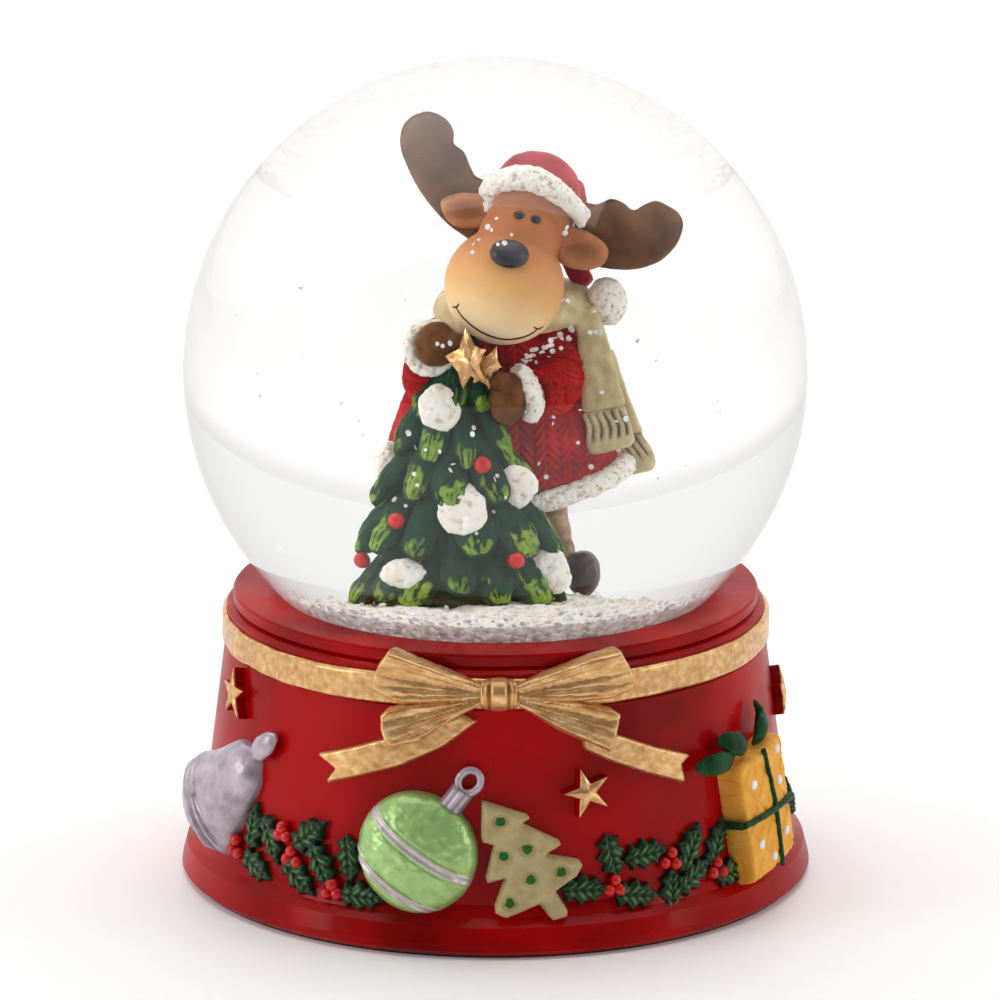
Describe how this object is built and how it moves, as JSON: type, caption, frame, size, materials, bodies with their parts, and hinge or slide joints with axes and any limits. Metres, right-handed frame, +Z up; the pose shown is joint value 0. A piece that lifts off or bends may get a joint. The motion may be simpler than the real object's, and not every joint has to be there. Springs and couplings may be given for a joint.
{
  "type": "musical snow globe",
  "caption": "Water-filled glass globe with a winter moose and tree figure, on a round festive base with a wind-up musical movement.",
  "frame": {"origin": "centre of the underside, on the surface that the globe stands on", "axes": "+Z up through the middle of the ball, -Y towards the viewer (the bow's side), +X to the viewer's right"},
  "size_m": [0.102, 0.102, 0.1325],
  "materials": {
    "clear_glass": "polished",
    "water": "clear liquid",
    "rubber_black": "matte",
    "snow_white": "soft matte",
    "flake_silver": "sparkling foil",
    "tree_green": "hand-painted with lime dry-brush",
    "antique_gold": "brushed antique gold paint",
    "mitten_brown": "hand-painted, satin",
    "moose_brown": "hand-painted, satin",
    "fur_white": "stippled",
    "hat_red": "hand-painted, satin",
    "antler_brown": "hand-painted, satin",
    "scarf_sage": "hand-painted, matte",
    "coat_red": "hand-painted, satin",
    "boot_dark": "glossy",
    "leg_tan": "hand-painted, satin",
    "bauble_red": "glossy",
    "base_red": "deep gloss",
    "ornament_green": "metallic paint",
    "lilac_silver": "pearl silver paint",
    "cookie_khaki": "brushed paint",
    "holly_green": "satin paint",
    "gift_orange": "satin paint",
    "berry_red": "glossy",
    "cover_black": "moulded",
    "screw_steel": "zinc plated",
    "pad_felt": "felt",
    "bed_iron": "die cast, gilt lacquer",
    "comb_steel": "ground",
    "spring_steel": "blued",
    "brass": "satin",
    "nylon_white": "moulded"
  },
  "bodies": {
    "base": {"glass_globe": "clear_glass", "liquid_fill": "water", "rubber_plug": "rubber_black", "snow_mound": "snow_white", "snow_flakes": "flake_silver", "tree": "tree_green", "star_topper": "antique_gold", "mittens": "mitten_brown", "moose_head": "moose_brown", "hat_band": "fur_white", "hat": "hat_red", "hat_pompom": "fur_white", "moose_ears": "moose_brown", "antler_left": "antler_brown", "antler_right": "antler_brown", "scarf": "scarf_sage", "coat_trim": "fur_white", "coat": "coat_red", "boots": "boot_dark", "moose_legs": "leg_tan", "tree_baubles": "bauble_red", "tree_snow": "snow_white", "base_shell": "base_red", "ribbon_band": "antique_gold", "bow": "antique_gold", "ornament_ball": "ornament_green", "ornament_cap": "lilac_silver", "cookie_tree": "cookie_khaki", "gift_ribbon": "holly_green", "gift_box": "gift_orange", "bell": "lilac_silver", "base_stars": "antique_gold", "holly_berries": "berry_red", "holly_leaves": "holly_green", "bottom_cover": "cover_black", "cover_screws": "screw_steel", "foot_pad": "pad_felt", "bedplate": "bed_iron", "movement_screws": "screw_steel", "spring_housing": "comb_steel", "mainspring": "spring_steel", "music_comb": "comb_steel", "comb_screws": "screw_steel", "bearing_posts": "bed_iron", "governor_bracket": "comb_steel"},
    "key": {"winding_key": "brass", "winding_arbor": "screw_steel", "crown_gear": "brass"},
    "cylinder": {"music_cylinder": "brass", "cylinder_arbor": "screw_steel", "cylinder_pinion": "brass", "cylinder_wheel": "brass"},
    "governor_gear": {"governor_pinion": "brass", "governor_arbor": "screw_steel", "worm_wheel": "brass"},
    "governor": {"governor_worm": "nylon_white", "governor_fan": "nylon_white"}
  },
  "joints": [
    {"name": "key_turn", "type": "hinge", "parent": "base", "child": "key", "pos_m": [0, 0, 0.012], "axis": [0, 0, 1], "continuous": true},
    {"name": "cylinder_turn", "type": "hinge", "parent": "base", "child": "cylinder", "pos_m": [-0.022, 0, 0.0273], "axis": [1, 0, 0], "continuous": true},
    {"name": "governor_gear_turn", "type": "hinge", "parent": "base", "child": "governor_gear", "pos_m": [-0.0337, -0.0078, 0.02281], "axis": [1, 0, 0], "continuous": true},
    {"name": "governor_turn", "type": "hinge", "parent": "base", "child": "governor", "pos_m": [-0.0337, -0.0133, 0.024], "axis": [0, 0, 1], "continuous": true}
  ],
  "couplings": [
    {"joint": "cylinder_turn", "follows": "key_turn", "ratio": -3},
    {"joint": "governor_gear_turn", "follows": "key_turn", "ratio": 12},
    {"joint": "governor_turn", "follows": "key_turn", "ratio": 96}
  ]
}
